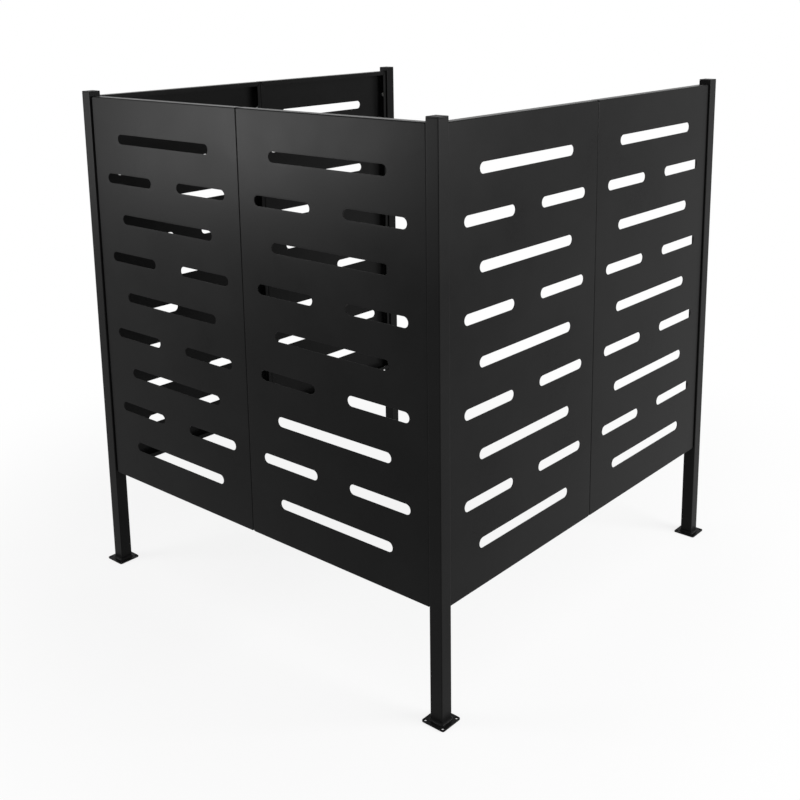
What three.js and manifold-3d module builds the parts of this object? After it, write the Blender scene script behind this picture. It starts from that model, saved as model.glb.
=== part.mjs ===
// Slotted steel screen that stands free outdoors and closes off three sides of a square.
// Four square posts on welded base plates carry six equal folded trays, two on each of three sides.
// The right side is open. Lengths are in millimetres, X runs to the open side, Y to the rear and Z up.
// The origin is on the floor, at the middle of the square that the four posts make.
import * as THREE from 'three';
import { mergeVertices } from 'three/addons/utils/BufferGeometryUtils.js';
import Module from 'manifold-3d';

// The whole screen
const outerSide = 966.8;
const groundClearance = 218;
const panelHeight = 842;
const postRise = 10.5;

// Clearances: what stays open between two pieces that touch, and how far a cutter runs past its cut
const contactGap = 0.3;
const cutOverrun = 1;

// Posts: square steel tube
const postSize = 27;
const postWall = 1.5;
const postCornerRadius = 1.6;

// Base plates, each with its weld bead round the foot of the post
const plateSize = 50;
const plateThickness = 3;
const plateCornerRadius = 4;
const plateHoleDiameter = 5.5;
const plateHoleInset = 5.5;
const weldLeg = 4;

// Post caps: a lid with an edge radius over a hollow plug
const capThickness = 2.5;
const capEdgeRadius = 1.2;
const plugDepth = 12;
const plugWall = 2;

// Panels: one sheet folded into a tray, with a return lip on each flange
const sheetThickness = 1.2;
const bendRadius = 2;
const faceSetback = 3.5;
const lipWidth = 10;
const cornerRelief = 3;
const mitreGap = 1;

// Slots: long ones alone in a row, short ones in pairs
const slotRowCount = 9;
const slotHeight = 20;
const longSlotMargin = 84.7;
const shortSlotMargin = 42;
const slotBridge = 82.2;

// Bolts with a hexagon head and a flange, and the nuts at the seams
const boltDiameter = 5;
const boltHeadWidth = 8;
const boltHeadHeight = 5;
const boltFlangeDiameter = 11.8;
const boltFlangeThickness = 1.5;
const boltFlangeRim = 0.7;
const boltTipChamfer = 0.8;
const boltTail = 2;
const boltInset = 63;
const nutHeight = 4.7;

// Rivet nuts set in the walls of the posts
const rivetBodyDiameter = 7;
const rivetFlangeDiameter = 10;
const rivetFlangeThickness = 1;
const rivetBulgeDiameter = 9.4;
const rivetBulgeLength = 3;
const rivetSpacing = 0.5;

// Steps round a hole or a shank, and in each quarter of half a slot end or of a round corner
const roundSteps = 10;
const slotEndSteps = 4;
const cornerSteps = 1;
const edgeSteps = 2;

// Places and sizes that follow from the ones above
const quarterTurn = Math.PI / 2;
const eighthTurn = Math.PI / 4;
const screenHeight = groundClearance + panelHeight + postRise;
const postSpacing = outerSide - postSize;
const postFoot = plateThickness + contactGap;
const postLength = screenHeight - capThickness - contactGap - postFoot;
const trayDepth = postSize - 2 * faceSetback;
const postGap = rivetFlangeThickness + 2 * contactGap;
const seamGap = contactGap;
const panelWidth = (postSpacing - postSize - 2 * postGap - seamGap) / 2;
const holeRadius = boltDiameter / 2 + contactGap;
const plateHoleRadius = plateHoleDiameter / 2;
const rivetHoleRadius = rivetBodyDiameter / 2 + contactGap;
const rivetReach = (postSize - rivetBodyDiameter) / 2 - rivetSpacing;
const boltLevels = [
  { name: 'lower', height: boltInset },
  { name: 'upper', height: panelHeight - boltInset },
];

const wasm = await Module();
wasm.setup();

// Merged positions and indices of a closed geometry, as a solid that can be joined and cut
function solidFrom(geometry) {
  const bare = geometry.clone();
  bare.deleteAttribute('normal');
  bare.deleteAttribute('uv');
  const merged = mergeVertices(bare);
  const corners = merged.index.array;
  const kept = [];
  for (let i = 0; i < corners.length; i += 3) {
    const [a, b, c] = corners.slice(i, i + 3);
    if (a !== b && b !== c && c !== a) kept.push(a, b, c);
  }
  const vertProperties = new Float32Array(merged.attributes.position.array);
  const triVerts = new Uint32Array(kept);
  return new wasm.Manifold(new wasm.Mesh({ numProp: 3, vertProperties, triVerts }));
}

function geometryFrom(solid) {
  const mesh = solid.getMesh();
  const geometry = new THREE.BufferGeometry();
  geometry.setAttribute('position', new THREE.BufferAttribute(mesh.vertProperties, 3));
  geometry.setIndex(new THREE.BufferAttribute(mesh.triVerts, 1));
  geometry.computeVertexNormals();
  return geometry;
}

function cutAll(solid, cutters) {
  return cutters.reduce((rest, cutter) => rest.subtract(solidFrom(cutter)), solid);
}

function extruded(shape, depth, curveSegments) {
  return new THREE.ExtrudeGeometry(shape, { depth, curveSegments, bevelEnabled: false });
}

// A solid block whose upper and lower edges are cut back, by a chamfer or by a radius in steps
function softBlock(shape, depth, edge, bevelSegments) {
  return new THREE.ExtrudeGeometry(shape, {
    depth,
    curveSegments: cornerSteps,
    bevelThickness: edge,
    bevelSize: edge,
    bevelOffset: -edge,
    bevelSegments,
  });
}

function cylinderAlongX(radius, length) {
  return new THREE.CylinderGeometry(radius, radius, length, roundSteps).rotateZ(quarterTurn);
}

// Square outline of the given side, with round corners, as a shape or as a hole in one
function traceSquare(path, side, radius) {
  const reach = side / 2 - radius;
  path.absarc(reach, reach, radius, 0, quarterTurn);
  path.absarc(-reach, reach, radius, quarterTurn, 2 * quarterTurn);
  path.absarc(-reach, -reach, radius, 2 * quarterTurn, 3 * quarterTurn);
  path.absarc(reach, -reach, radius, 3 * quarterTurn, 4 * quarterTurn);
  path.closePath();
  return path;
}

function roundedSquare(side, radius) {
  return traceSquare(new THREE.Shape(), side, radius);
}

// Section of a folded tray across its width: lip, flange, face, flange, lip, all of one thickness.
// The face lies along the first axis at zero, and the lips at the full depth.
function traySection(width) {
  const half = width / 2;
  const inner = bendRadius - sheetThickness;
  const nearCentre = bendRadius;
  const farCentre = trayDepth - bendRadius;
  const sideCentre = half - bendRadius;
  const lipEnd = half - lipWidth;
  const section = new THREE.Shape();
  section.moveTo(-lipEnd, trayDepth);
  section.absarc(-sideCentre, farCentre, bendRadius, quarterTurn, 2 * quarterTurn);
  section.absarc(-sideCentre, nearCentre, bendRadius, 2 * quarterTurn, 3 * quarterTurn);
  section.absarc(sideCentre, nearCentre, bendRadius, 3 * quarterTurn, 4 * quarterTurn);
  section.absarc(sideCentre, farCentre, bendRadius, 0, quarterTurn);
  section.lineTo(lipEnd, trayDepth);
  section.lineTo(lipEnd, trayDepth - sheetThickness);
  section.absarc(sideCentre, farCentre, inner, quarterTurn, 0, true);
  section.absarc(sideCentre, nearCentre, inner, 0, -quarterTurn, true);
  section.absarc(-sideCentre, nearCentre, inner, -quarterTurn, -2 * quarterTurn, true);
  section.absarc(-sideCentre, farCentre, inner, 2 * quarterTurn, quarterTurn, true);
  section.lineTo(-lipEnd, trayDepth - sheetThickness);
  section.closePath();
  return section;
}

// Cutter for one slot with round ends, through the face of a tray
function slotCutter(length, x, z) {
  const radius = slotHeight / 2;
  const straight = length / 2 - radius;
  const outline = new THREE.Shape();
  outline.absarc(straight, 0, radius, -quarterTurn, quarterTurn);
  outline.absarc(-straight, 0, radius, quarterTurn, 3 * quarterTurn);
  outline.closePath();
  const cutter = extruded(outline, sheetThickness + 2 * cutOverrun, slotEndSteps);
  return cutter.rotateX(quarterTurn).translate(x, sheetThickness + cutOverrun, z);
}

function slotCutters() {
  const pitch = panelHeight / (slotRowCount + 1);
  const longLength = panelWidth - 2 * longSlotMargin;
  const shortLength = (panelWidth - 2 * shortSlotMargin - slotBridge) / 2;
  const shortOffset = (slotBridge + shortLength) / 2;
  const cutters = [];
  for (let row = 1; row <= slotRowCount; row += 1) {
    const z = row * pitch;
    if (row % 2 === 1) {
      cutters.push(slotCutter(longLength, 0, z));
    } else {
      cutters.push(slotCutter(shortLength, -shortOffset, z));
      cutters.push(slotCutter(shortLength, shortOffset, z));
    }
  }
  return cutters;
}

// Cutters for the bolt holes in both side flanges of a tray
function flangeHoleCutters() {
  const cutters = [];
  const x = (panelWidth - sheetThickness) / 2;
  for (const side of [-1, 1]) {
    for (const level of boltLevels) {
      const cutter = cylinderAlongX(holeRadius, sheetThickness + 2 * cutOverrun);
      cutters.push(cutter.translate(side * x, trayDepth / 2, level.height));
    }
  }
  return cutters;
}

// Cutters for the mitred joints where two return lips meet in a corner of a tray
function mitreCutters() {
  const length = lipWidth * Math.SQRT2 + 2 * cutOverrun;
  const depth = sheetThickness + 2 * cutOverrun;
  const x = (panelWidth - lipWidth) / 2;
  const y = trayDepth - sheetThickness / 2;
  const z = (panelHeight - lipWidth) / 2;
  const cutters = [];
  for (const side of [-1, 1]) {
    for (const end of [-1, 1]) {
      const cutter = new THREE.BoxGeometry(length, depth, mitreGap).rotateY(-side * end * eighthTurn);
      cutters.push(cutter.translate(side * x, y, panelHeight / 2 + end * z));
    }
  }
  return cutters;
}

// One panel: its face in the plane y = 0 looking to -Y, its middle at x = 0 and its lower edge at z = 0.
// The upright fold gives the side flanges, the level fold the upper and lower ones, and both the face.
function makePanel() {
  const uprightLength = panelHeight - 2 * cornerRelief;
  const levelLength = panelWidth - 2 * cornerRelief;
  const upright = extruded(traySection(panelWidth), uprightLength, cornerSteps);
  upright.translate(0, 0, cornerRelief);
  const level = extruded(traySection(panelHeight), levelLength, cornerSteps);
  level.rotateY(-quarterTurn).translate(levelLength / 2, 0, panelHeight / 2);
  const tray = solidFrom(upright).add(solidFrom(level));
  const cutters = [...slotCutters(), ...flangeHoleCutters(), ...mitreCutters()];
  return geometryFrom(cutAll(tray, cutters));
}

// One post, from its foot at z = 0, with holes for rivet nuts in the faces that the turns point to.
// A turn of zero is the face towards +X.
function makePost(drilledTurns) {
  const section = roundedSquare(postSize, postCornerRadius);
  const boreRadius = Math.max(postCornerRadius - postWall, contactGap);
  section.holes.push(traceSquare(new THREE.Path(), postSize - 2 * postWall, boreRadius));
  const tube = solidFrom(extruded(section, postLength, cornerSteps));
  const cutters = [];
  for (const turn of drilledTurns) {
    for (const level of boltLevels) {
      const cutter = cylinderAlongX(rivetHoleRadius, postWall + 2 * cutOverrun);
      cutter.translate((postSize - postWall) / 2, 0, groundClearance + level.height - postFoot);
      cutters.push(cutter.rotateZ(turn));
    }
  }
  return geometryFrom(cutAll(tube, cutters));
}

// One base plate on the floor, with a bead of weld that leaves the seat of the post free
function makeBasePlate() {
  const seatSide = postSize + 2 * contactGap;
  const seatRadius = postCornerRadius + contactGap;
  const plateOutline = roundedSquare(plateSize, plateCornerRadius);
  const plate = solidFrom(extruded(plateOutline, plateThickness, cornerSteps));
  const beadOutline = roundedSquare(seatSide + 2 * weldLeg, seatRadius + weldLeg);
  const bead = solidFrom(softBlock(beadOutline, plateThickness, weldLeg, 1));
  const aboveFloor = new THREE.BoxGeometry(plateSize, plateSize, screenHeight);
  aboveFloor.translate(0, 0, screenHeight / 2);
  const beadTop = bead.intersect(solidFrom(aboveFloor));
  const seat = extruded(roundedSquare(seatSide, seatRadius), postLength, cornerSteps);
  const holePlace = plateSize / 2 - plateHoleInset;
  const cutters = [seat.translate(0, 0, plateThickness)];
  for (const x of [-holePlace, holePlace]) {
    for (const y of [-holePlace, holePlace]) {
      const length = plateThickness + weldLeg + 2 * cutOverrun;
      const hole = new THREE.CylinderGeometry(plateHoleRadius, plateHoleRadius, length, roundSteps);
      cutters.push(hole.rotateX(quarterTurn).translate(x, y, length / 2 - cutOverrun));
    }
  }
  return geometryFrom(cutAll(plate.add(beadTop), cutters));
}

// One cap: its lid rests on the end of the tube at z = 0, and its plug reaches down inside
function makeCap() {
  const plugSide = postSize - 2 * postWall - 2 * contactGap;
  const plugRadius = Math.max(postCornerRadius - postWall - contactGap, contactGap);
  const hollowSide = plugSide - 2 * plugWall;
  const lidOutline = roundedSquare(postSize, postCornerRadius);
  const lid = solidFrom(softBlock(lidOutline, capThickness - capEdgeRadius, capEdgeRadius, edgeSteps));
  const aboveTube = new THREE.BoxGeometry(postSize, postSize, 2 * capThickness).translate(0, 0, capThickness);
  const plug = extruded(roundedSquare(plugSide, plugRadius), plugDepth + capThickness / 2, cornerSteps);
  const hollow = extruded(roundedSquare(hollowSide, plugRadius), plugDepth + cutOverrun, cornerSteps);
  const whole = lid.intersect(solidFrom(aboveTube)).add(solidFrom(plug.translate(0, 0, -plugDepth)));
  return geometryFrom(cutAll(whole, [hollow.translate(0, 0, -plugDepth - cutOverrun)]));
}

function hexagonAlongY(height) {
  const radius = boltHeadWidth / Math.sqrt(3);
  return new THREE.CylinderGeometry(radius, radius, height, 6);
}

// One flange bolt along +X: its head bears on the plane x = 0, and its shank ends in a chamfer
function makeBolt(shankLength) {
  const shankRadius = boltDiameter / 2;
  const headRadius = boltHeadWidth / 2;
  const flangeRadius = boltFlangeDiameter / 2;
  const profile = [
    new THREE.Vector2(0, -boltFlangeThickness),
    new THREE.Vector2(headRadius, -boltFlangeThickness),
    new THREE.Vector2(flangeRadius, -boltFlangeRim),
    new THREE.Vector2(flangeRadius, 0),
    new THREE.Vector2(shankRadius, 0),
    new THREE.Vector2(shankRadius, shankLength - boltTipChamfer),
    new THREE.Vector2(shankRadius - boltTipChamfer, shankLength),
    new THREE.Vector2(0, shankLength),
  ];
  const shank = solidFrom(new THREE.LatheGeometry(profile, roundSteps));
  const hexagonHeight = boltHeadHeight - boltFlangeRim;
  const hexagon = hexagonAlongY(hexagonHeight).translate(0, -boltFlangeRim - hexagonHeight / 2, 0);
  return geometryFrom(shank.add(solidFrom(hexagon))).rotateZ(-quarterTurn);
}

// One flange nut along +X, with its flange in the plane x = 0
function makeSeamNut() {
  const flangeRadius = boltFlangeDiameter / 2;
  const profile = [
    new THREE.Vector2(0, 0),
    new THREE.Vector2(flangeRadius, 0),
    new THREE.Vector2(flangeRadius, boltFlangeRim),
    new THREE.Vector2(boltHeadWidth / 2, boltFlangeThickness),
    new THREE.Vector2(0, boltFlangeThickness),
  ];
  const flange = solidFrom(new THREE.LatheGeometry(profile, roundSteps));
  const hexagonHeight = nutHeight - boltFlangeRim;
  const hexagon = hexagonAlongY(hexagonHeight).translate(0, boltFlangeRim + hexagonHeight / 2, 0);
  const boreLength = nutHeight + 2 * cutOverrun;
  const bore = new THREE.CylinderGeometry(holeRadius, holeRadius, boreLength, roundSteps);
  bore.translate(0, boreLength / 2 - cutOverrun, 0);
  return geometryFrom(cutAll(flange.add(solidFrom(hexagon)), [bore])).rotateZ(-quarterTurn);
}

// One rivet nut along +X, set: the post's outer face is the plane x = 0, and the bulge is behind its wall
function makeRivetNut() {
  const bodyRadius = rivetBodyDiameter / 2;
  const flangeRadius = rivetFlangeDiameter / 2;
  const bulgeRadius = rivetBulgeDiameter / 2;
  const mouth = -contactGap - rivetFlangeThickness;
  const bulgeStart = postWall + contactGap;
  const profile = [
    new THREE.Vector2(holeRadius, mouth),
    new THREE.Vector2(flangeRadius, mouth),
    new THREE.Vector2(flangeRadius, -contactGap),
    new THREE.Vector2(bodyRadius, -contactGap),
    new THREE.Vector2(bodyRadius, bulgeStart),
    new THREE.Vector2(bulgeRadius, bulgeStart),
    new THREE.Vector2(bodyRadius, bulgeStart + rivetBulgeLength),
    new THREE.Vector2(bodyRadius, rivetReach),
    new THREE.Vector2(holeRadius, rivetReach),
    new THREE.Vector2(holeRadius, mouth),
  ];
  const ring = solidFrom(new THREE.LatheGeometry(profile, roundSteps));
  return geometryFrom(ring).rotateZ(-quarterTurn);
}

// Finishes: black powder coat, black moulded plastic and zinc plated steel
const powderCoat = { color: 0x2b2c2d, roughness: 0.5, metalness: 0 };
const blackPlastic = { color: 0x1d1e1f, roughness: 0.6, metalness: 0 };
const zincPlate = { color: 0xb4b6b8, roughness: 0.35, metalness: 1 };

function addPiece(parent, name, geometry, finish, place, turn = 0) {
  const piece = new THREE.Mesh(geometry, new THREE.MeshStandardMaterial(finish));
  piece.name = name;
  piece.position.set(...place);
  piece.rotation.z = turn;
  parent.add(piece);
}

const screen = new THREE.Group();

// The four corners: each post stands in its base plate and is drilled on the sides that carry a panel
const corners = [
  { name: 'front_left', x: -1, y: -1, drilledTurns: [0, quarterTurn] },
  { name: 'front_right', x: 1, y: -1, drilledTurns: [2 * quarterTurn] },
  { name: 'rear_left', x: -1, y: 1, drilledTurns: [0, -quarterTurn] },
  { name: 'rear_right', x: 1, y: 1, drilledTurns: [2 * quarterTurn] },
];
const basePlate = makeBasePlate();
const cap = makeCap();
for (const corner of corners) {
  const x = corner.x * postSpacing / 2;
  const y = corner.y * postSpacing / 2;
  addPiece(screen, `${corner.name}_post`, makePost(corner.drilledTurns), powderCoat, [x, y, postFoot]);
  addPiece(screen, `${corner.name}_base_plate`, basePlate, powderCoat, [x, y, 0]);
  addPiece(screen, `${corner.name}_cap`, cap, blackPlastic, [x, y, screenHeight - capThickness]);
}

// The three closed sides. Each is made as the front side is, looking to -Y, and turned to its place.
// The two names of a side are those of its panels, from -X to +X before the turn.
const sides = [
  { name: 'front', turn: 0, ends: ['left', 'right'] },
  { name: 'left', turn: -quarterTurn, ends: ['rear', 'front'] },
  { name: 'rear', turn: 2 * quarterTurn, ends: ['right', 'left'] },
];
const panel = makePanel();
const postBolt = makeBolt(contactGap + sheetThickness + postGap + rivetReach);
const seamBolt = makeBolt(3 * contactGap + 2 * sheetThickness + nutHeight + boltTail);
const seamNut = makeSeamNut();
const rivetNut = makeRivetNut();
const postLine = -postSpacing / 2;
const panelFace = postLine - postSize / 2 + faceSetback;
const panelMiddle = (seamGap + panelWidth) / 2;
const postFace = (postSpacing - postSize) / 2;
const seamBearing = seamGap / 2 + sheetThickness + contactGap;
const postBearing = postFace - postGap - sheetThickness - contactGap;
for (const side of sides) {
  const group = new THREE.Group();
  group.rotation.z = side.turn;
  screen.add(group);
  side.ends.forEach((end, index) => {
    const sign = index === 0 ? -1 : 1;
    const outward = index === 0 ? 2 * quarterTurn : 0;
    const name = `${side.name}_panel_${end}`;
    addPiece(group, name, panel, powderCoat, [sign * panelMiddle, panelFace, groundClearance]);
    for (const level of boltLevels) {
      const z = groundClearance + level.height;
      const boltPlace = [sign * postBearing, postLine, z];
      const rivetNutPlace = [sign * postFace, postLine, z];
      addPiece(group, `${name}_bolt_${level.name}`, postBolt, zincPlate, boltPlace, outward);
      addPiece(group, `${name}_rivet_nut_${level.name}`, rivetNut, zincPlate, rivetNutPlace, outward);
    }
  });
  for (const level of boltLevels) {
    const z = groundClearance + level.height;
    addPiece(group, `${side.name}_seam_bolt_${level.name}`, seamBolt, zincPlate, [-seamBearing, postLine, z]);
    addPiece(group, `${side.name}_seam_nut_${level.name}`, seamNut, zincPlate, [seamBearing, postLine, z]);
  }
}

export default screen;
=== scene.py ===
import bmesh
import bpy
import numpy as np
from mathutils import Matrix, Vector


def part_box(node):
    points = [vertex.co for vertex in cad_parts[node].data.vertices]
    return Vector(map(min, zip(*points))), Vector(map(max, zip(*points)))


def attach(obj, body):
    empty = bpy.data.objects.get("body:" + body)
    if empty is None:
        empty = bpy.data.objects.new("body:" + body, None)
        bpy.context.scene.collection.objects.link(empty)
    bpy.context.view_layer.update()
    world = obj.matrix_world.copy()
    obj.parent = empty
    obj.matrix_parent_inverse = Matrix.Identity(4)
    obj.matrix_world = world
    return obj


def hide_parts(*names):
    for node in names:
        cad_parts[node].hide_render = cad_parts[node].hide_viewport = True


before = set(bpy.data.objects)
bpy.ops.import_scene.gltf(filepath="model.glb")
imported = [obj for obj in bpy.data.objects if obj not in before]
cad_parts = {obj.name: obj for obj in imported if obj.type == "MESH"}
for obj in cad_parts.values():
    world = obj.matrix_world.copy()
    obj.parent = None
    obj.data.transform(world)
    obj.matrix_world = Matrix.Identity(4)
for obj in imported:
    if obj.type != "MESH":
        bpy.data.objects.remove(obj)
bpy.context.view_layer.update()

MM = 0.001

# Camera: it looks at the front left post from a little above the screen's top, as the photograph does.
# Its place, aim and lens were fitted to the edges of the posts, trays and slots.
camera_place = np.array([-1.8494, -1.5912, 1.2514])
camera_yaw = 0.7168
camera_pitch = -0.2107
camera_roll = -0.0138
focal_share = 1.410
view_shift = -0.20
camera_data = bpy.data.cameras.new("view")
camera_data.lens = focal_share * camera_data.sensor_width
camera_data.shift_y = view_shift
camera = bpy.data.objects.new("view", camera_data)
bpy.context.scene.collection.objects.link(camera)
forward = np.array([np.cos(camera_pitch) * np.cos(camera_yaw), np.cos(camera_pitch) * np.sin(camera_yaw),
                    np.sin(camera_pitch)])
level = np.array([np.sin(camera_yaw), -np.cos(camera_yaw), 0])
upright = np.cross(level, forward)
right = np.cos(camera_roll) * level + np.sin(camera_roll) * upright
up = -np.sin(camera_roll) * level + np.cos(camera_roll) * upright
turn = Matrix(np.column_stack([right, up, -forward]).tolist()).to_4x4()
camera.matrix_world = Matrix.Translation(camera_place) @ turn
bpy.context.scene.camera = camera


# Panels: six equal trays, each laser cut and folded from 1.2 mm steel sheet, then powder coated black.
# The face has nine rows of slots. Each of its four flanges turns inwards and ends in a narrow return lip.
# Two trays are bolted tight at the middle of a side, so each tray's ends close half of the gap there.
sheet = 1.2 * MM
bend = 2 * MM
lip_width = 10 * MM
corner_relief = 3 * MM
mitre_gap = 1 * MM
slot_rows = 9
slot_radius = 10 * MM
long_margin = 84.7 * MM
short_margin = 42 * MM
slot_bridge = 82.2 * MM
flange_hole = 2.8 * MM
bolt_inset = 63 * MM
coated_edge = 0.3 * MM
seam_gap = 0.3 * MM


def linear(code):
    """An sRGB hex colour as linear red, green, blue and alpha."""
    c = np.array([int(code[i:i + 2], 16) for i in (1, 3, 5)]) / 255
    low = c / 12.92
    high = ((c + 0.055) / 1.055) ** 2.4
    return (*np.where(c <= 0.04045, low, high), 1)


def add(tree, kind, settings=None, links=None):
    """Adds a node, sets its named inputs or attributes, and links others' outputs into its inputs."""
    node = tree.nodes.new(kind)
    for key, value in (settings or {}).items():
        if isinstance(key, int) or key in node.inputs:
            node.inputs[key].default_value = value
        else:
            setattr(node, key, value)
    for key, source in (links or {}).items():
        tree.links.new(source, node.inputs[key])
    return node


def powder_coat():
    """Satin black polyester powder coat: near black, with a broad soft sheen and a fine orange peel.
    The peel's grain is about 1.5 mm across on the real sheet and is drawn at 4 mm, so that it shows."""
    material = bpy.data.materials.new("powder_coat")
    material.use_nodes = True
    tree = material.node_tree
    tree.nodes.clear()
    place = add(tree, "ShaderNodeTexCoord")
    peel_size = 4 * MM
    peel_depth = 0.05 * MM
    cloud_size = 180 * MM
    speck_size = 1.4 * MM
    smoothest = 0.23
    roughest = 0.30
    speck_share = 0.08
    peel = add(tree, "ShaderNodeTexNoise", {"Scale": 1 / peel_size, "Detail": 3},
               {"Vector": place.outputs["Object"]})
    cloud = add(tree, "ShaderNodeTexNoise", {"Scale": 1 / cloud_size, "Detail": 4, "Roughness": 0.6},
                {"Vector": place.outputs["Object"]})
    speck = add(tree, "ShaderNodeTexNoise", {"Scale": 1 / speck_size, "Detail": 2},
                {"Vector": place.outputs["Object"]})
    tone = add(tree, "ShaderNodeValToRGB", {}, {"Fac": cloud.outputs["Fac"]})
    tone.color_ramp.elements[0].position = 0.3
    tone.color_ramp.elements[0].color = linear("#101010")
    tone.color_ramp.elements[1].position = 0.7
    tone.color_ramp.elements[1].color = linear("#141414")
    satin = add(tree, "ShaderNodeMapRange",
                {"From Min": 0.3, "From Max": 0.7, "To Min": smoothest, "To Max": roughest},
                {"Value": cloud.outputs["Fac"]})
    grain = add(tree, "ShaderNodeMath", {"operation": "MULTIPLY_ADD", 1: speck_share},
                {0: speck.outputs["Fac"], 2: satin.outputs["Result"]})
    bump = add(tree, "ShaderNodeBump", {"Strength": 0.5, "Distance": peel_depth},
               {"Height": peel.outputs["Fac"]})
    coat = add(tree, "ShaderNodeBsdfPrincipled", {"IOR": 1.5, "Specular IOR Level": 0.045},
               {"Base Color": tone.outputs["Color"], "Roughness": grain.outputs["Value"],
                "Normal": bump.outputs["Normal"]})
    add(tree, "ShaderNodeOutputMaterial", {}, {"Surface": coat.outputs["BSDF"]})
    return material


def turned(points, angle):
    """Points turned about Z: x' = x cos a - y sin a and y' = x sin a + y cos a."""
    c, s = np.cos(angle), np.sin(angle)
    return points @ np.array([[c, s, 0], [-s, c, 0], [0, 0, 1]])


def grid(points):
    """A patch from a grid of points, shape (rows, columns, 3): the points in one list, and its quads. A quad
    goes round the corners (row, column), (row, column + 1), (row + 1, column + 1) and (row + 1, column)."""
    rows, columns = points.shape[:2]
    index = np.arange(rows * columns).reshape(rows, columns)
    quads = np.stack([index[:-1, :-1], index[:-1, 1:], index[1:, 1:], index[1:, :-1]], axis=-1)
    return points.reshape(-1, 3), quads.reshape(-1, 4)


def ring_patch(inner, outer):
    """The flat patch between two closed lines of as many points (u, v), as points (u, v, 0). Rings of points
    lie 0, 15 and 100 per cent of the way from each inner point to its outer one."""
    share = np.array([0, 0.15, 1])[:, None, None]
    rings = inner + share * (outer - inner)
    rings = np.concatenate([rings, rings[:, :1]], axis=1)
    flat = np.concatenate([rings, np.zeros((*rings.shape[:2], 1))], axis=2)
    return grid(flat.transpose(1, 0, 2))


def hole_patch(us, vs, centre, half_straight, radius):
    """The flat patch between a round-ended slot and the rectangular cell around it, as points (u, v, 0).
    The cell's edge passes once round through all the places us and vs. Its point's reach beyond the slot's
    straight part, and its rise over the slot's middle line, each as a share of the way to the edge, give an
    angle: arctan(rise / reach). Its partner on the slot is that far round the slot's end."""
    edge = np.concatenate([
        np.column_stack([np.full(len(vs) - 1, us[-1]), vs[:-1]]),
        np.column_stack([us[:0:-1], np.full(len(us) - 1, vs[-1])]),
        np.column_stack([np.full(len(vs) - 1, us[0]), vs[:0:-1]]),
        np.column_stack([us[:-1], np.full(len(us) - 1, vs[0])]),
    ])
    offset = edge - np.array(centre)
    core = np.clip(offset[:, 0], -half_straight, half_straight)
    span_u = np.where(offset[:, 0] > 0, us[-1] - centre[0], centre[0] - us[0]) - half_straight
    span_v = np.where(offset[:, 1] > 0, vs[-1] - centre[1], centre[1] - vs[0])
    angle = np.arctan2(offset[:, 1] / span_v, (offset[:, 0] - core) / span_u)
    partner = np.column_stack([core + radius * np.cos(angle), radius * np.sin(angle)]) + np.array(centre)
    return ring_patch(partner, edge)


def joined(patches):
    """One list of points and one of quads from several patches."""
    start = np.cumsum([0] + [len(points) for points, _ in patches[:-1]])
    points = np.concatenate([points for points, _ in patches])
    quads = np.concatenate([quads + first for (_, quads), first in zip(patches, start)])
    return points, quads


def steps(marks, counts):
    """Places from mark to mark, with that many equal steps between each two."""
    parts = [np.linspace(a, b, n, endpoint=False) for a, b, n in zip(marks[:-1], marks[1:], counts)]
    return np.concatenate(parts + [[marks[-1]]])


def quarter(centre, radius, start, count):
    """Points on a quarter circle from the start angle, in degrees: centre + radius (cos, sin)."""
    angle = np.radians(start + np.linspace(0, 90, count + 1))
    return np.column_stack([centre[0] + radius * np.cos(angle), centre[1] + radius * np.sin(angle)])


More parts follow.
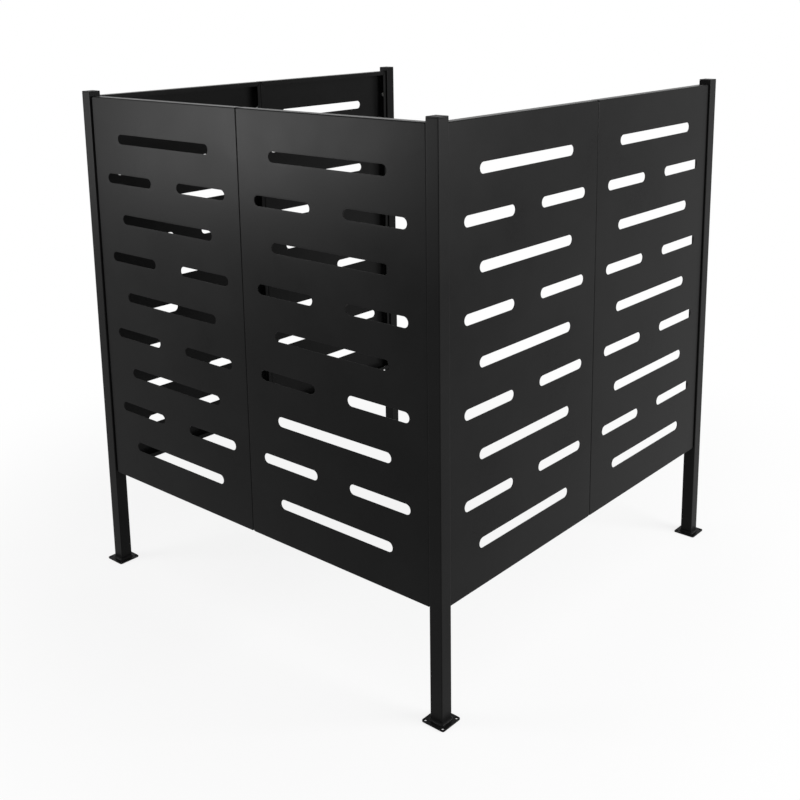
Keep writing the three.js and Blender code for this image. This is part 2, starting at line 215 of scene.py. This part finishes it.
def tray(width, depth, height):
    """The outer skin of one tray, in three steps: the flat face between the bends, whose slots and margins
    share the lines of one net, the side strips, and the end strips. A strip carries the section of bend,
    flange, bend and lip along the edge of the face. The lip's last points draw in, which mitres its ends."""
    bend_steps = 5
    flange_steps = 4
    cell_steps = 16
    half_face = width / 2 - bend
    pitch = height / (slot_rows + 1)
    long_straight = width / 2 - long_margin - slot_radius
    short_length = (width - 2 * short_margin - slot_bridge) / 2
    short_middle = (slot_bridge + short_length) / 2
    short_straight = short_length / 2 - slot_radius
    marks = [0, short_middle - short_straight, long_straight, short_middle + short_straight,
             width / 2 - corner_relief, half_face]
    right_half = steps(marks, [6, 5, 4, 6, 1])
    across = np.concatenate([-right_half[:0:-1], right_half])
    rows = np.arange(slot_rows + 1) * pitch + pitch / 2
    lower = [bend, corner_relief]
    upper = [height - corner_relief, height - bend]
    along = np.concatenate([lower, steps(rows, [cell_steps] * slot_rows), upper])
    start, end = len(lower), len(along) - 1
    patches = []
    for first, last in ((0, start), (end - start, end)):
        u, v = np.meshgrid(across, along[first:last + 1])
        patches.append(grid(np.stack([u, v, 0 * u], axis=-1)))
    middle = len(right_half) - 1
    for row in range(slot_rows):
        vs = along[start + row * cell_steps:start + (row + 1) * cell_steps + 1]
        centre = (row + 1) * pitch
        if row % 2 == 0:
            patches.append(hole_patch(across, vs, (0, centre), long_straight, slot_radius))
        else:
            for net, place in ((across[:middle + 1], -short_middle), (across[middle:], short_middle)):
                patches.append(hole_patch(net, vs, (place, centre), short_straight, slot_radius))
    points, quads = joined(patches)
    face = (points[:, [0, 2, 1]], quads)

    near = quarter((-bend, bend), bend, -90, bend_steps)
    far = quarter((-bend, depth - bend), bend, 0, bend_steps)
    flange = np.column_stack([np.zeros(flange_steps + 1), np.linspace(bend, depth - bend, flange_steps + 1)])
    fold = np.concatenate([far, [[-lip_width, depth]]])

    def strip(section, places, half_length, half_width):
        """Section (reach, depth) carried along the places. The ends of the lip are drawn in by the mitre."""
        past_bend = section[:, 0] < -bend - coated_edge
        drawn_in = np.where(past_bend, mitre_gap / np.sqrt(2) - section[:, 0], corner_relief)
        draw = (half_length - drawn_in) / (half_length - corner_relief)
        reach = half_width + section[:, 0]
        return np.stack([np.broadcast_to(reach[:, None], (len(section), len(places))),
                         np.broadcast_to(section[:, 1][:, None], (len(section), len(places))),
                         draw[:, None] * places[None, :]], axis=-1)

    sides = []
    side_places = along[1:-1] - height / 2
    for section in (near, fold):
        sides.append(grid(strip(section, side_places, height / 2, width / 2)))
    hole_span = 2
    first_row = 1
    last_row = end - 1
    hole_columns = []
    for hole_height in (bolt_inset, height - bolt_inset):
        nearest = first_row + int(np.argmin(np.abs(along[first_row:] - hole_height)))
        hole_columns.append((nearest - hole_span, nearest + hole_span, hole_height))
    (low_first, low_last, _), (high_first, high_last, _) = hole_columns
    for first, last in ((first_row, low_first), (low_last, high_first), (high_last, last_row)):
        sides.append(grid(strip(flange, along[first:last + 1] - height / 2, height / 2, width / 2)))
    for first, last, hole_height in hole_columns:
        points, quads = hole_patch(flange[:, 1], along[first:last + 1] - height / 2,
                                   (depth / 2, hole_height - height / 2), 0, flange_hole)
        standing = np.column_stack([np.full(len(points), width / 2), points[:, :2]])
        sides.append((standing, quads[:, ::-1]))
    side_points, side_quads = joined(sides)
    ends = [grid(strip(section, across[1:-1], width / 2, height / 2)) for section in (near, flange, fold)]
    end_points, end_quads = joined(ends)

    lift = np.array([0, 0, height / 2])
    patches = [face]
    for sign in (-1, 1):
        patches.append((side_points * [sign, 1, 1] + lift, side_quads[:, ::-sign]))
        patches.append((end_points[:, [2, 1, 0]] * [1, 1, sign] + lift, end_quads[:, ::sign]))
    return joined(patches)


def finished(name, node, points, faces, material, wall=0, edge=0):
    """Makes a piece from points and faces, and merges points that meet. A skin gets its wall inwards by
    Solidify, and its cut edges a small radius by Bevel."""
    mesh = bpy.data.meshes.new(name)
    mesh.from_pydata(points.tolist(), [], faces.tolist())
    shape = bmesh.new()
    shape.from_mesh(mesh)
    bmesh.ops.remove_doubles(shape, verts=shape.verts, dist=0.001 * MM)
    shape.to_mesh(mesh)
    shape.free()
    mesh.shade_smooth()
    if not edge:
        mesh.set_sharp_from_angle(angle=np.radians(40))
    mesh.materials.append(material)
    piece = bpy.data.objects.new(name, mesh)
    bpy.context.scene.collection.objects.link(piece)
    if wall:
        solid = piece.modifiers.new("wall", "SOLIDIFY")
        solid.thickness = wall
        solid.offset = -1
        solid.use_even_offset = True
    if edge:
        soft = piece.modifiers.new("edge", "BEVEL")
        soft.width = edge
        soft.segments = 2
        soft.limit_method = "ANGLE"
        soft.angle_limit = np.radians(50)
    weighted = piece.modifiers.new("shading", "WEIGHTED_NORMAL")
    weighted.keep_sharp = True
    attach(piece, "root")
    if node:
        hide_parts(node)
    return piece


black_coat = powder_coat()
panel_turns = {"front": 0, "left": -np.pi / 2, "rear": np.pi}
for name in [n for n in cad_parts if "_panel_" in n and n.split("_panel_")[1].count("_") == 0]:
    low, high = (np.array(corner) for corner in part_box(name))
    size = np.sort((high - low)[:2])
    points, quads = tray(size[1] + seam_gap, size[0], high[2] - low[2])
    points = turned(points - [0, size[0] / 2, 0], panel_turns[name.split("_")[0]])
    points = points + [*((low + high) / 2)[:2], low[2]]
    finished(f"{name}_tray", name, points, quads, black_coat, sheet, coated_edge)


# Posts: 27 mm square tube of 1.5 mm steel with rolled corners, in the same powder coat as the trays.
# Each face that carries a tray is drilled at two heights for the rivet nuts. The lower end is welded down.
tube_wall = 1.5 * MM
tube_corner = 1.6 * MM
rivet_hole = 3.8 * MM
hole_cell = 10 * MM
net_steps = 8
corner_steps = 6
drilled_faces = {"front_left": (0, 1), "front_right": (2,), "rear_left": (0, 3), "rear_right": (2,)}


def tube(side, length, hole_heights, drilled):
    """The outer skin of a square tube that stands at z = 0: four flat faces, with a net round each hole, and
    four quarter-round corners, all on the same heights. Face k looks to +X turned by k quarter turns."""
    half = side / 2
    flat = half - tube_corner
    marks = [0]
    for height in hole_heights:
        marks += [height - hole_cell, height + hole_cell]
    counts = [1, net_steps, 1, net_steps, 1]
    heights = steps(marks + [length], counts)
    ends = np.cumsum([0] + counts)
    across = np.linspace(-flat, flat, net_steps + 1)
    patches = []
    for k in range(4):
        pieces = []
        for first, last in zip(ends[:-1], ends[1:]):
            if k in drilled and last - first == net_steps:
                middle = (heights[first] + heights[last]) / 2
                points, quads = hole_patch(across, heights[first:last + 1], (0, middle), 0, rivet_hole)
            else:
                u, v = np.meshgrid(across, heights[first:last + 1])
                points, quads = grid(np.stack([u, v, 0 * u], axis=-1))
            pieces.append((np.column_stack([np.full(len(points), half), points[:, 0], points[:, 1]]), quads))
        arc = quarter((flat, flat), tube_corner, 0, corner_steps)
        rounded = np.stack([np.broadcast_to(arc[:, None, 0], (len(arc), len(heights))),
                            np.broadcast_to(arc[:, None, 1], (len(arc), len(heights))),
                            np.broadcast_to(heights, (len(arc), len(heights)))], axis=-1)
        points, quads = grid(rounded)
        pieces.append((points, quads[:, ::-1]))
        points, quads = joined(pieces)
        patches.append((turned(points, k * np.pi / 2), quads))
    return joined(patches)


nut_heights = [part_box(f"front_panel_left_rivet_nut_{level}") for level in ("lower", "upper")]
nut_heights = [(low[2] + high[2]) / 2 for low, high in nut_heights]
for corner, drilled in drilled_faces.items():
    low, high = (np.array(end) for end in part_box(f"{corner}_post"))
    points, quads = tube(high[0] - low[0], high[2] - low[2], [z - low[2] for z in nut_heights], drilled)
    points = points + [*((low + high) / 2)[:2], low[2]]
    finished(f"{corner}_tube", f"{corner}_post", points, quads, black_coat, tube_wall,
             coated_edge)


# Base plates: 3 mm steel, 50 mm square with round corners and a hole near each, in the same powder coat.
# The post stands in the middle, and a bead of weld runs once round its foot, rippled by the torch's steps.
plate_thickness = 3 * MM
plate_corner = 4 * MM
plate_hole = 2.75 * MM
plate_hole_inset = 5.5 * MM
plate_edge = 0.5 * MM
weld_leg = 4 * MM
weld_ripple = 2.6 * MM
weld_sink = 0.3 * MM


def plate(side):
    """The upper skin of a base plate. One quarter is the ring between its hole and its outline, with each
    outline point joined to the point of the hole at the same angle, and the others are that one turned."""
    half = side / 2
    side_steps = 10
    line = np.linspace(0, half, side_steps + 1)
    arc = quarter((half - plate_corner, half - plate_corner), plate_corner, 0, corner_steps)
    straight = np.linspace(0, half - plate_corner, side_steps)[:-1]
    outline = np.concatenate([
        np.column_stack([np.full(len(straight), half), straight]),
        arc,
        np.column_stack([straight[:0:-1], np.full(len(straight) - 1, half)]),
        np.column_stack([np.zeros(side_steps), line[:0:-1]]),
        np.column_stack([line[:-1], np.zeros(side_steps)]),
    ])
    offset = outline - (half - plate_hole_inset)
    angle = np.arctan2(offset[:, 1], offset[:, 0])
    hole = half - plate_hole_inset + plate_hole * np.column_stack([np.cos(angle), np.sin(angle)])
    points, quads = ring_patch(hole, outline)
    return joined([(turned(points, k * np.pi / 2), quads) for k in range(4)])


def square_line(half, radius, count):
    """A closed line round a square with round corners, in equal steps of its length: places and outward
    directions. Straights and quarter circles follow each other, and the place is interpolated on them."""
    arc_steps = 16
    corner = quarter((half - radius, half - radius), radius, 0, arc_steps)
    corner = np.column_stack([corner, 0 * corner[:, 0]])
    corners = np.concatenate([turned(corner, k * np.pi / 2) for k in range(4)])
    corners = np.concatenate([corners, corners[:1]])[:, :2]
    length = np.concatenate([[0], np.cumsum(np.linalg.norm(np.diff(corners, axis=0), axis=1))])
    travel = np.linspace(0, length[-1], count, endpoint=False)
    places = np.column_stack([np.interp(travel, length, corners[:, i]) for i in (0, 1)])
    ahead = np.roll(places, -1, axis=0) - np.roll(places, 1, axis=0)
    ahead /= np.linalg.norm(ahead, axis=1)[:, None]
    return travel, length[-1], places, np.column_stack([ahead[:, 1], -ahead[:, 0]])


def weld_bead(half, radius):
    """A fillet weld round the foot of a post. Its section is a quarter circle's chord swollen outwards, and
    its leg varies along the line as 0.9 + 0.1 |cos(pi travel / ripple)|, which gives a weld's scales."""
    count = 240
    section_points = 8
    section_swell = 0.1
    ripple_share = 0.1
    travel, length, places, outward = square_line(half, radius, count)
    ripples = round(length / weld_ripple)
    wave = np.abs(np.cos(np.pi * travel * ripples / length))
    leg = weld_leg * (1 - ripple_share + ripple_share * wave)
    slope = np.radians(np.linspace(0, 90, section_points))
    along = np.linspace(0, 1, section_points)
    chord = np.column_stack([1 - along, along])
    section = chord + section_swell * np.sin(2 * slope)[:, None]
    root = np.full((count, 1), -weld_sink)
    reach = np.concatenate([section[:, 0] * leg[:, None] - weld_sink, root], axis=1)
    rise = np.concatenate([section[:, 1] * leg[:, None] - weld_sink, root], axis=1)
    across = places[:, None, :] + reach[:, :, None] * outward[:, None, :]
    rings = np.concatenate([across, rise[:, :, None]], axis=2)
    rings = np.concatenate([rings, rings[:1]], axis=0)
    rings = np.concatenate([rings, rings[:, :1]], axis=1)
    points, quads = grid(rings)
    return points, quads[:, ::-1]


for corner in drilled_faces:
    low, high = (np.array(end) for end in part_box(f"{corner}_base_plate"))
    post_low, post_high = (np.array(end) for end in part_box(f"{corner}_post"))
    middle = (low + high) / 2
    points, quads = plate(high[0] - low[0])
    points = points + [*middle[:2], low[2] + plate_thickness]
    finished(f"{corner}_plate", f"{corner}_base_plate", points, quads, black_coat,
             plate_thickness, plate_edge)
    points, quads = weld_bead((post_high[0] - post_low[0]) / 2, tube_corner)
    points = points + [*middle[:2], low[2] + plate_thickness]
    finished(f"{corner}_weld", None, points, quads, black_coat)


# Caps: moulded black polyethylene, flush with the outside of the tube, with a soft upper edge.
# A hollow plug below the lid wedges inside the tube. The lid has the fine matt grain of its mould.
cap_lid = 2.5 * MM
cap_edge = 1.2 * MM
plug_clearance = 0.3 * MM
plug_wall = 2 * MM
rim_radius = 0.25 * MM
edge_steps = 8


def moulded_black():
    """Black polyethylene: as dark as the powder coat, with a duller and broader shine, and a fine mould
    grain of about 0.3 mm, drawn at 1.5 mm so that it shows."""
    material = bpy.data.materials.new("moulded_black")
    material.use_nodes = True
    tree = material.node_tree
    tree.nodes.clear()
    place = add(tree, "ShaderNodeTexCoord")
    grain_size = 1.5 * MM
    grain_depth = 0.04 * MM
    grain = add(tree, "ShaderNodeTexNoise", {"Scale": 1 / grain_size, "Detail": 2},
                {"Vector": place.outputs["Object"]})
    bump = add(tree, "ShaderNodeBump", {"Strength": 0.4, "Distance": grain_depth},
               {"Height": grain.outputs["Fac"]})
    rough = add(tree, "ShaderNodeMapRange", {"To Min": 0.42, "To Max": 0.58},
                {"Value": grain.outputs["Fac"]})
    body = add(tree, "ShaderNodeBsdfPrincipled",
               {"Base Color": linear("#121212"), "IOR": 1.5, "Specular IOR Level": 0.12},
               {"Roughness": rough.outputs["Result"], "Normal": bump.outputs["Normal"]})
    add(tree, "ShaderNodeOutputMaterial", {}, {"Surface": body.outputs["BSDF"]})
    return material


def square_rings(stations):
    """A closed skin through rounded squares, one for each station (half side, corner radius, height). A
    station of half side zero is a point that closes an end."""
    rings = []
    for half, radius, height in stations:
        corner = quarter((half - radius, half - radius), radius, 0, corner_steps)
        corner = np.column_stack([corner, np.full(len(corner), height)])
        ring = np.concatenate([turned(corner, k * np.pi / 2) for k in range(4)])
        rings.append(np.concatenate([ring, ring[:1]]))
    return grid(np.array(rings))


black_plastic = moulded_black()
for corner in drilled_faces:
    low, high = (np.array(end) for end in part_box(f"{corner}_cap"))
    half = (high[0] - low[0]) / 2
    plug = half - tube_wall - plug_clearance
    hollow = plug - plug_wall
    under = high[2] - cap_lid
    edge = quarter((half - cap_edge, high[2] - cap_edge), cap_edge, 0, edge_steps)
    stations = [(0, 0, under), (hollow - rim_radius, rim_radius, under),
                (hollow, 2 * rim_radius, under - rim_radius), (hollow, 2 * rim_radius, low[2] + rim_radius),
                (hollow + rim_radius, 2 * rim_radius, low[2]),
                (plug - rim_radius, 2 * rim_radius, low[2]), (plug, 3 * rim_radius, low[2] + rim_radius),
                (plug, 3 * rim_radius, under - rim_radius), (plug + rim_radius, 3 * rim_radius, under),
                (half - rim_radius, tube_corner, under), (half, tube_corner, under + rim_radius)]
    stations += [(reach, tube_corner - half + reach, height) for reach, height in edge]
    stations += [(0, 0, high[2])]
    points, quads = square_rings(stations)
    points = points + [*((low + high) / 2)[:2], 0]
    finished(f"{corner}_lid", f"{corner}_cap", points, quads, black_plastic)


# Bolts, rivet nuts and seam nuts: M5 steel hardware, cold formed, then bright zinc plated.
# A flange bolt goes through each tray's flange into a rivet nut in the post, or into a flange nut at a seam.
thread_radius = 2.5 * MM
thread_depth = 0.45 * MM
thread_pitch = 0.8 * MM
head_flat = 4 * MM
head_height = 5 * MM
flange_radius = 5.9 * MM
flange_top = 1.5 * MM
flange_rim = 0.7 * MM
nut_bore = 2.6 * MM
rivet_flange = 5 * MM
rivet_rim = 1 * MM
rivet_body = 3.5 * MM
rivet_bulge = 4.7 * MM
rivet_bulge_length = 3 * MM
seat_gap = 0.3 * MM
crown_height = 0.3 * MM
crown_share = 0.88
chamfer_height = 0.7 * MM
corner_share = 1.16
foot_height = 0.1 * MM
foot_share = 1.18
rim_soft = 0.2 * MM
seat_soft = 0.15 * MM
bore_chamfer = 0.3 * MM
rivet_soft = 0.2 * MM
tip_chamfer = 0.4 * MM
thread_steps = 6
turn_steps = 48


def zinc_plate():
    """Bright zinc plate: a cool grey metal with a slight blue and straw cast, and fine cloudy streaks about
    3 mm long in its shine."""
    material = bpy.data.materials.new("zinc_plate")
    material.use_nodes = True
    tree = material.node_tree
    tree.nodes.clear()
    place = add(tree, "ShaderNodeTexCoord")
    cloud_size = 3 * MM
    cloud = add(tree, "ShaderNodeTexNoise", {"Scale": 1 / cloud_size, "Detail": 3},
                {"Vector": place.outputs["Object"]})
    tone = add(tree, "ShaderNodeValToRGB", {}, {"Fac": cloud.outputs["Fac"]})
    tone.color_ramp.elements[0].position = 0.35
    tone.color_ramp.elements[0].color = linear("#a9b0b8")
    tone.color_ramp.elements[1].position = 0.65
    tone.color_ramp.elements[1].color = linear("#c4c3b8")
    rough = add(tree, "ShaderNodeMapRange", {"To Min": 0.22, "To Max": 0.42},
                {"Value": cloud.outputs["Fac"]})
    body = add(tree, "ShaderNodeBsdfPrincipled", {"Metallic": 1.0},
               {"Base Color": tone.outputs["Color"], "Roughness": rough.outputs["Result"]})
    add(tree, "ShaderNodeOutputMaterial", {}, {"Surface": body.outputs["BSDF"]})
    return material


def spun(places, limits, flats, pitches):
    """A closed skin round the X axis, one ring for each place. A ring's radius is its limit, cut to a
    hexagon's flat / cos(angle to the middle of the flat) where it has flats, and where it has a pitch its
    radius falls by the thread's depth times a triangle wave of place / pitch - angle."""
    angle = np.linspace(0, 2 * np.pi, turn_steps + 1)
    from_flat = (angle + np.pi / 6) % (np.pi / 3) - np.pi / 6
    hexagon = head_flat / np.cos(from_flat)
    places, limits = np.array(places)[:, None], np.array(limits)[:, None]
    radius = np.where(np.array(flats)[:, None], np.minimum(limits, hexagon), limits)
    wave = np.abs(2 * ((places / thread_pitch - angle / (2 * np.pi)) % 1) - 1)
    radius = np.where(np.array(pitches)[:, None], radius - thread_depth * wave, radius)
    places = np.broadcast_to(places, radius.shape)
    return grid(np.stack([places, radius * np.cos(angle), radius * np.sin(angle)], axis=-1))


def bolt(shank):
    """A flange bolt along +X whose head bears on x = 0: head, flange, threaded shank and chamfered tip."""
    head = [(-head_height, 0, 0), (-head_height, crown_share * head_flat, 0),
            (-head_height + crown_height, head_flat, 1),
            (-head_height + chamfer_height, corner_share * head_flat, 1),
            (-flange_top - foot_height, corner_share * head_flat, 1),
            (-flange_top, foot_share * head_flat, 0), (-flange_rim, flange_radius - rim_soft, 0),
            (-flange_rim + rim_soft, flange_radius, 0), (-seat_soft, flange_radius, 0),
            (0, flange_radius - seat_soft, 0), (0, thread_radius - thread_depth, 0)]
    last_turn = int(shank / thread_pitch * thread_steps) - thread_steps
    turns = np.arange(1, last_turn + 1) * thread_pitch / thread_steps
    tip = [(shank - tip_chamfer, thread_radius - thread_depth, 0),
           (shank, thread_radius - 2 * thread_depth, 0), (shank, 0, 0)]
    places = [s[0] for s in head] + turns.tolist() + [s[0] for s in tip]
    limits = [s[1] for s in head] + [thread_radius] * len(turns) + [s[1] for s in tip]
    flats = [s[2] for s in head] + [0] * (len(turns) + len(tip))
    pitches = [0] * len(head) + [1] * len(turns) + [0] * len(tip)
    return spun(places, limits, flats, pitches)


def seam_nut(height):
    """A flange nut along +X with its flange on x = 0: bore, flange, hexagon, chamfer and bore again."""
    stations = [(bore_chamfer, nut_bore, 0), (0, nut_bore + bore_chamfer, 0),
                (0, flange_radius - seat_soft, 0), (seat_soft, flange_radius, 0),
                (flange_rim, flange_radius, 0), (flange_top, foot_share * head_flat, 0),
                (flange_top + foot_height, corner_share * head_flat, 1),
                (height - chamfer_height, corner_share * head_flat, 1),
                (height - crown_height, head_flat, 1), (height, crown_share * head_flat, 0),
                (height, nut_bore + bore_chamfer, 0), (height - bore_chamfer, nut_bore, 0),
                (bore_chamfer, nut_bore, 0)]
    return spun(*np.array(stations).T, [0] * len(stations))


def rivet_nut(reach):
    """A set rivet nut along +X through a tube wall whose outer face is x = 0: flange, body, the collar that
    its setting folded up behind the wall as a half sine, plain end and bore."""
    seat = -seat_gap
    mouth = seat - rivet_rim
    behind = tube_wall + seat_gap
    bulge = rivet_bulge - rivet_body
    fold_steps = 8
    fold = np.linspace(0, np.pi, fold_steps + 1)[1:]
    stations = [(mouth + rivet_soft, nut_bore), (mouth, nut_bore + rivet_soft),
                (mouth, rivet_flange - rivet_soft), (mouth + rivet_soft, rivet_flange),
                (seat, rivet_flange), (seat, rivet_body), (behind, rivet_body)]
    stations += [(behind + rivet_bulge_length * a / np.pi, rivet_body + bulge * np.sin(a)) for a in fold]
    stations += [(reach - rivet_soft, rivet_body), (reach, rivet_body - rivet_soft), (reach, nut_bore),
                 (mouth + rivet_soft, nut_bore)]
    return spun(*np.array(stations).T, [0] * len(stations), [0] * len(stations))


zinc = zinc_plate()
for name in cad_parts:
    if "bolt" not in name and "nut" not in name:
        continue
    low, high = (np.array(end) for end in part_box(name))
    side = name.split("_")[0]
    size = high - low
    middle = (low + high) / 2
    run = turned(np.array([[1.0, 0, 0]]), panel_turns[side])[0]
    outward = 1.0
    if "_panel_" in name:
        outward = np.sign(run @ [*middle[:2], 0])
    length = size[np.argmax(np.abs(run))]
    if "rivet_nut" in name:
        before = seat_gap + rivet_rim
        points, quads = rivet_nut(length - before)
    elif "nut" in name:
        before = 0
        points, quads = seam_nut(length)
    else:
        before = head_height
        points, quads = bolt(length - before)
    points = turned(points, panel_turns[side] + (np.pi if outward < 0 else 0))
    origin = middle + run * outward * (before - length / 2)
    finished(f"{name}_part", name, points + origin, quads, zinc)


# Floor and light: a plain pale studio floor that whitens away from the object, a white surround, and two
# soft boxes. The one at the rear left gives the left side its sheen, and the other lights the front side.
floor_size = 30.0
floor_drop = 0.2 * MM
shadow_reach = 0.7
white_reach = 1.6
near_white = 0.8
surround_light = 0.55
floor_mesh = bpy.data.meshes.new("floor")
floor_corners = [(x * floor_size, y * floor_size, -floor_drop)
                 for x, y in ((-1, -1), (1, -1), (1, 1), (-1, 1))]
floor_mesh.from_pydata(floor_corners, [], [(0, 1, 2, 3)])
floor = bpy.data.objects.new("floor", floor_mesh)
bpy.context.scene.collection.objects.link(floor)


def seen_directly(tree):
    """One for camera, glossy and transmission rays, and zero for the rays that light the object."""
    path = add(tree, "ShaderNodeLightPath")
    camera_or_glossy = add(tree, "ShaderNodeMath", {"operation": "MAXIMUM"},
                           {0: path.outputs["Is Camera Ray"], 1: path.outputs["Is Glossy Ray"]})
    return add(tree, "ShaderNodeMath", {"operation": "MAXIMUM"},
               {0: camera_or_glossy.outputs["Value"], 1: path.outputs["Is Transmission Ray"]})


floor_material = bpy.data.materials.new("studio_floor")
floor_material.use_nodes = True
tree = floor_material.node_tree
tree.nodes.clear()
place = add(tree, "ShaderNodeTexCoord")
distance = add(tree, "ShaderNodeVectorMath", {"operation": "LENGTH"}, {0: place.outputs["Object"]})
whitening = add(tree, "ShaderNodeMapRange",
                {"interpolation_type": "SMOOTHSTEP", "From Min": shadow_reach, "From Max": white_reach,
                 "To Min": near_white, "To Max": 1.0},
                {"Value": distance.outputs["Value"]})
share = add(tree, "ShaderNodeMath", {"operation": "MULTIPLY"},
            {0: whitening.outputs["Result"], 1: seen_directly(tree).outputs["Value"]})
matt = add(tree, "ShaderNodeBsdfDiffuse", {"Color": linear("#f8f8f8")})
white = add(tree, "ShaderNodeEmission", {"Color": (1, 1, 1, 1), "Strength": 1.0})
blend = add(tree, "ShaderNodeMixShader", {},
            {0: share.outputs["Value"], 1: matt.outputs["BSDF"], 2: white.outputs["Emission"]})
add(tree, "ShaderNodeOutputMaterial", {}, {"Surface": blend.outputs["Shader"]})
floor_mesh.materials.append(floor_material)

world = bpy.data.worlds.new("studio")
bpy.context.scene.world = world
world.use_nodes = True
tree = world.node_tree
tree.nodes.clear()
strength = add(tree, "ShaderNodeMapRange", {"To Min": surround_light, "To Max": 1.0},
               {"Value": seen_directly(tree).outputs["Value"]})
sky = add(tree, "ShaderNodeBackground", {"Color": (1, 1, 1, 1)}, {"Strength": strength.outputs["Result"]})
add(tree, "ShaderNodeOutputWorld", {}, {"Surface": sky.outputs["Background"]})


def soft_box(name, place, aim, width, height, power):
    """A rectangular area light at a place, turned to its aim."""
    light = bpy.data.lights.new(name, "AREA")
    light.shape = "RECTANGLE"
    light.size = width
    light.size_y = height
    light.energy = power
    lamp = bpy.data.objects.new(name, light)
    bpy.context.scene.collection.objects.link(lamp)
    lamp.location = place
    lamp.rotation_euler = (Vector(aim) - Vector(place)).to_track_quat("-Z", "Y").to_euler()
    lamp.visible_camera = False


light_aim = (0, 0, 0.75)
soft_box("rear_left_box", place=(-2.486, 2.013, 0.834), aim=light_aim, width=1.2, height=0.8, power=43)
soft_box("front_box", place=(0.932, -3.049, 1.029), aim=light_aim, width=1.9, height=0.8, power=102)

bpy.context.scene.view_settings.view_transform = "Standard"
